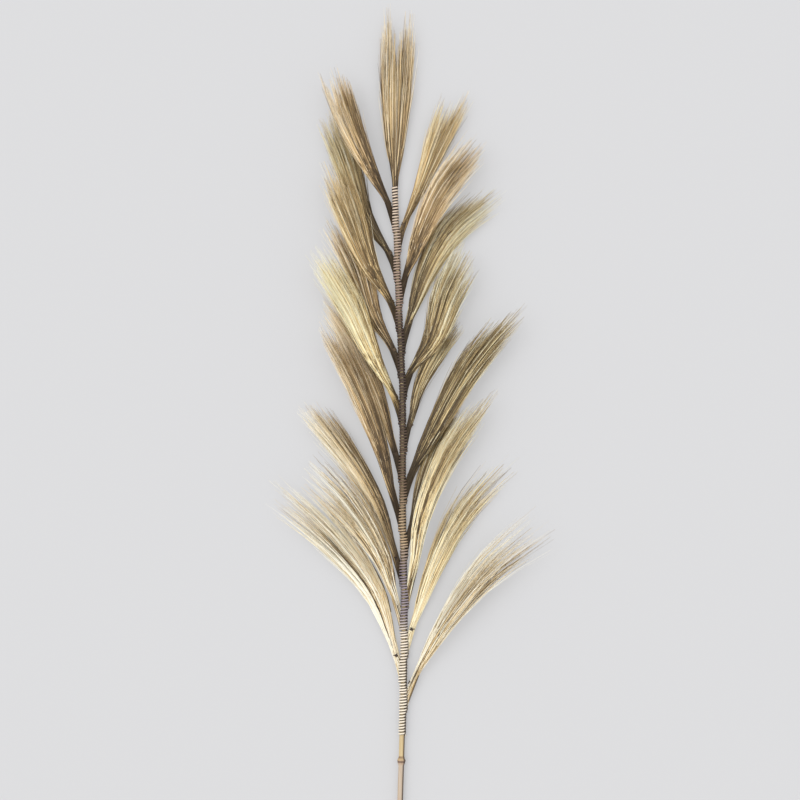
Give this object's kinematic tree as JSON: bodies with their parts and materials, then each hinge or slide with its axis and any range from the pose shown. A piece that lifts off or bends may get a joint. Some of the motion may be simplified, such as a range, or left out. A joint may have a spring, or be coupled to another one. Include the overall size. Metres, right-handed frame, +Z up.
{
  "type": "dried grass spray",
  "caption": "Tall flat spray of gathered dried-grass tufts bound to one cane by a wound cord, lying on its back.",
  "frame": {"origin": "under the middle of the spray, on the surface that it lies on", "axes": "+Y runs up the cane to the tip of the top tuft, +X to the right seen from above, +Z up off the surface"},
  "size_m": [0.5482, 1.5322, 0.0487],
  "materials": {
    "cane": "satin",
    "binding_cord": "matte",
    "tie_thread": "matte",
    "dry_grass": "matte"
  },
  "bodies": {
    "root": {"cane": "cane", "binding_cord": "binding_cord", "top_tuft": "dry_grass", "top_tie": "tie_thread", "left_tuft_01": "dry_grass", "left_tie_01": "tie_thread", "left_tuft_02": "dry_grass", "left_tie_02": "tie_thread", "left_tuft_03": "dry_grass", "left_tie_03": "tie_thread", "left_tuft_04": "dry_grass", "left_tie_04": "tie_thread", "left_tuft_05": "dry_grass", "left_tie_05": "tie_thread", "left_tuft_06": "dry_grass", "left_tie_06": "tie_thread", "left_tuft_07": "dry_grass", "left_tie_07": "tie_thread", "left_tuft_08": "dry_grass", "left_tie_08": "tie_thread", "left_tuft_09": "dry_grass", "left_tie_09": "tie_thread", "left_tuft_10": "dry_grass", "left_tie_10": "tie_thread", "right_tuft_01": "dry_grass", "right_tie_01": "tie_thread", "right_tuft_02": "dry_grass", "right_tie_02": "tie_thread", "right_tuft_03": "dry_grass", "right_tie_03": "tie_thread", "right_tuft_04": "dry_grass", "right_tie_04": "tie_thread", "right_tuft_05": "dry_grass", "right_tie_05": "tie_thread", "right_tuft_06": "dry_grass", "right_tie_06": "tie_thread", "right_tuft_07": "dry_grass", "right_tie_07": "tie_thread", "right_tuft_08": "dry_grass", "right_tie_08": "tie_thread", "right_tuft_09": "dry_grass", "right_tie_09": "tie_thread", "right_tuft_10": "dry_grass", "right_tie_10": "tie_thread"}
  },
  "joints": []
}
